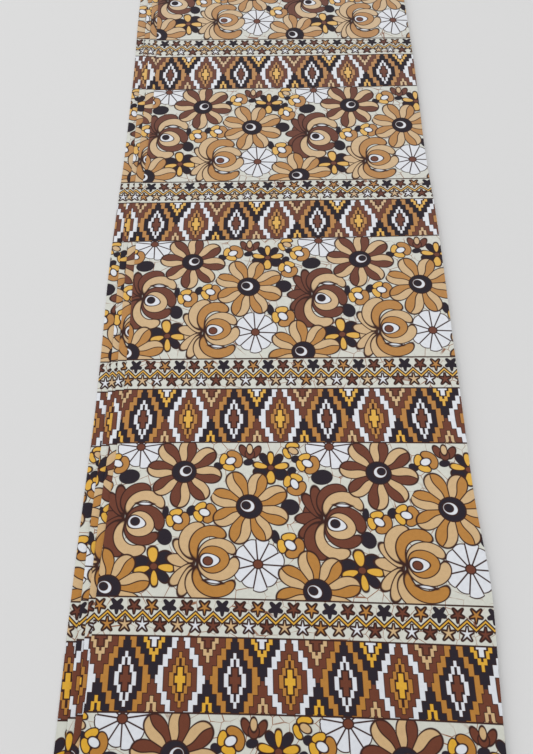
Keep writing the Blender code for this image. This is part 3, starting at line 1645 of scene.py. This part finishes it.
@dataclass
class TopPanel(FoldedCloth):
    """The top panel with its cut end at the right and its fold tucked under at the left."""

    tuck: float = 14.0 * MM
    columns: int = 84

    def path(self, edges: EdgeRow) -> list[PathPoint]:
        """Give the middle line from the tuck's end round the fold to the cut end.

        Args:
            edges: Where the layers end at one place along the cloth's width.

        Returns:
            The line's points.
        """
        turn = self.left_fold(edges.top_fold, 1)
        start = turn[0].x
        strip = STRIP_PRINTS[1]
        end = edges.top_fold + self.tuck
        points = [PathPoint(end, self.level(2), start - self.arc - (end - start), strip)]
        points += turn[::-1]
        for step in range(1, self.columns + 1):
            x = start + (edges.top_end - start) * step / self.columns
            points.append(PathPoint(x, self.level(1) + ridge_height(x, edges.along), x, strip))
        return points

    def build(self, cotton: bpy.types.Material) -> bpy.types.Object:
        """Make the top panel.

        Args:
            cotton: The cloth's material.

        Returns:
            The piece.
        """
        piece = self.bend("top_panel", cotton)
        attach(piece, ROOT_BODY)
        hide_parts("top_layer")
        return piece


@dataclass
class FoldedPanels(FoldedCloth):
    """Panels two to seven under the top one, whose folds show as strips at the left."""

    tuck: float = 14.3 * MM
    columns: int = 6
    right_folds: Three = (376.0 * MM, 378.4 * MM, 415.5 * MM)
    least_inset: float = 0.5 * MM

    def path(self, edges: EdgeRow) -> list[PathPoint]:
        """Give the middle line from the bottom panel's cut end up to the tuck.

        Args:
            edges: Where the layers end at one place along the cloth's width.

        Returns:
            The line's points.
        """
        lefts = (edges.top_fold, edges.second_fold, edges.third_fold)
        limit = edges.top_end - self.least_inset
        rights = [min(edge + width, limit) for edge, width in zip(lefts, self.right_folds)]
        folds = [self.left_fold(edge, panel) for edge, panel in zip(lefts, (1, 3, 5))]
        starts = [fold[0].x for fold in folds]
        points = self.run_down(edges.top_fold + self.tuck, starts[0], rights[0], 2)
        points += self.run_up(rights[0], starts[1], 3)[:-1] + folds[1]
        points += self.run_down(starts[1], starts[1], rights[1], 4)[1:]
        points += self.run_up(rights[1], starts[2], 5)[:-1] + folds[2]
        points += self.run_down(starts[2], starts[2], rights[2], 6)[1:]
        points += self.run_up(rights[2], edges.bottom_end, self.panels)
        return points[::-1]

    def run_down(self, first: float, base: float, right: float, panel: int) -> list[PathPoint]:
        """Give a face-down panel from its left end to its fold at the right.

        Args:
            first: Where the panel starts.
            base: Where the left fold ends that its print is counted from.
            right: The right fold's outer side.
            panel: The panel's number.

        Returns:
            The panel's points, with half of the right fold.
        """
        strip = STRIP_PRINTS[panel - 1]
        turn = self.fold(right, panel, 1)
        end = turn[0][0]
        points = []
        for step in range(self.columns):
            x = first + (end - first) * step / self.columns
            points.append(PathPoint(x, self.level(panel), self.face_down(x, base), strip))
        for step, (x, z) in enumerate(turn[: self.fold_steps // 2 + 1]):
            run = end + self.arc * step / self.fold_steps
            points.append(PathPoint(x, z, self.face_down(run, base), strip))
        return points

    def face_down(self, x: float, base: float) -> float:
        """Give a place in the print of a face-down panel, which runs back from its left fold."""
        return base - self.arc - (x - base)

    def run_up(self, right: float, end: float, panel: int) -> list[PathPoint]:
        """Give a face-up panel from its right fold to its end at the left.

        Args:
            right: The right fold's outer side.
            end: Where the panel ends.
            panel: The panel's number.

        Returns:
            The panel's points, with half of the right fold.
        """
        strip = STRIP_PRINTS[panel]
        turn = self.fold(right, panel - 1, 1)
        start = turn[-1][0]
        points = []
        for step in range(self.fold_steps // 2 + 1, self.fold_steps + 1):
            run = start + self.arc * (self.fold_steps - step) / self.fold_steps
            points.append(PathPoint(*turn[step], run, strip))
        for step in range(1, self.columns + 1):
            x = start + (end - start) * step / self.columns
            points.append(PathPoint(x, self.level(panel), x, strip))
        return points

    def build(self, cotton: bpy.types.Material) -> bpy.types.Object:
        """Make the folded panels.

        Args:
            cotton: The cloth's material.

        Returns:
            The piece.
        """
        piece = self.bend("folded_panels", cotton)
        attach(piece, ROOT_BODY)
        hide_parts("hidden_layers")
        return piece


@dataclass
class Studio:
    """The pale floor, the soft light and the camera."""

    floor_size: float = 6.0
    floor_drop: float = 0.2 * MM
    floor_shade: float = 0.755
    floor_roughness: float = 0.9
    floor_specular: float = 0.2
    sky_strength: float = 0.826
    softbox_size: tuple[float, float] = (2.4, 1.6)
    softbox_power: float = 8.0
    softbox_place: Three = (-0.9, 0.6, 2.2)
    camera_place: Three = (-0.0173, -0.609, 0.815)
    camera_down: float = 60.4
    camera_turn: float = 0.52
    focal_pixels: float = 792.0
    frame_height: float = 754.0
    sensor: float = 24.0

    def build(self) -> None:
        """Make the floor, the lights and the camera."""
        self.build_floor()
        self.build_lights()
        self.build_camera()

    def build_floor(self) -> None:
        """Lay the floor just under the cloth."""
        shape = bmesh.new()
        bmesh.ops.create_grid(shape, x_segments=1, y_segments=1, size=0.5 * self.floor_size)
        bmesh.ops.translate(shape, verts=shape.verts, vec=(0.0, 0.0, -self.floor_drop))
        floor = placed("floor", meshed("floor", shape))
        material = bpy.data.materials.new("floor")
        material.use_nodes = True
        shader = material.node_tree.nodes["Principled BSDF"]
        shader.inputs["Base Color"].default_value = (*[self.floor_shade] * 3, 1.0)
        shader.inputs["Roughness"].default_value = self.floor_roughness
        shader.inputs["Specular IOR Level"].default_value = self.floor_specular
        floor.data.materials.append(material)

    def build_lights(self) -> None:
        """Hang one wide soft light over the cloth and fill the rest evenly."""
        world = bpy.data.worlds.new("studio")
        world.use_nodes = True
        sky = world.node_tree.nodes["Background"]
        sky.inputs["Color"].default_value = (1.0, 1.0, 1.0, 1.0)
        sky.inputs["Strength"].default_value = self.sky_strength
        bpy.context.scene.world = world
        light = bpy.data.lights.new("softbox", "AREA")
        light.shape = "RECTANGLE"
        light.size, light.size_y = self.softbox_size
        light.energy = self.softbox_power
        lamp = placed("softbox", light)
        lamp.location = self.softbox_place
        lamp.rotation_euler = (-lamp.location).to_track_quat("-Z", "Y").to_euler()

    def build_camera(self) -> None:
        """Set the camera where the photograph was taken from."""
        data = bpy.data.cameras.new("camera")
        data.sensor_fit = "VERTICAL"
        data.sensor_height = self.sensor
        data.lens = self.sensor * self.focal_pixels / self.frame_height
        camera = placed("camera", data)
        camera.location = self.camera_place
        tilt = math.radians(90.0 - self.camera_down)
        camera.rotation_euler = Euler((tilt, 0.0, -math.radians(self.camera_turn)))
        bpy.context.scene.camera = camera


def main() -> None:
    """Build the folded cloth and the studio round it."""
    logging.basicConfig(level=logging.INFO)
    view = bpy.context.scene.view_settings
    view.view_transform = "Standard"
    cotton = PrintedCotton().material()
    for maker in (FoldedPanels(), TopPanel()):
        piece = maker.build(cotton)
        LOG.info("%s: %d faces", piece.name, len(piece.data.polygons))
    Studio().build()


if __name__ == "__main__":
    main()
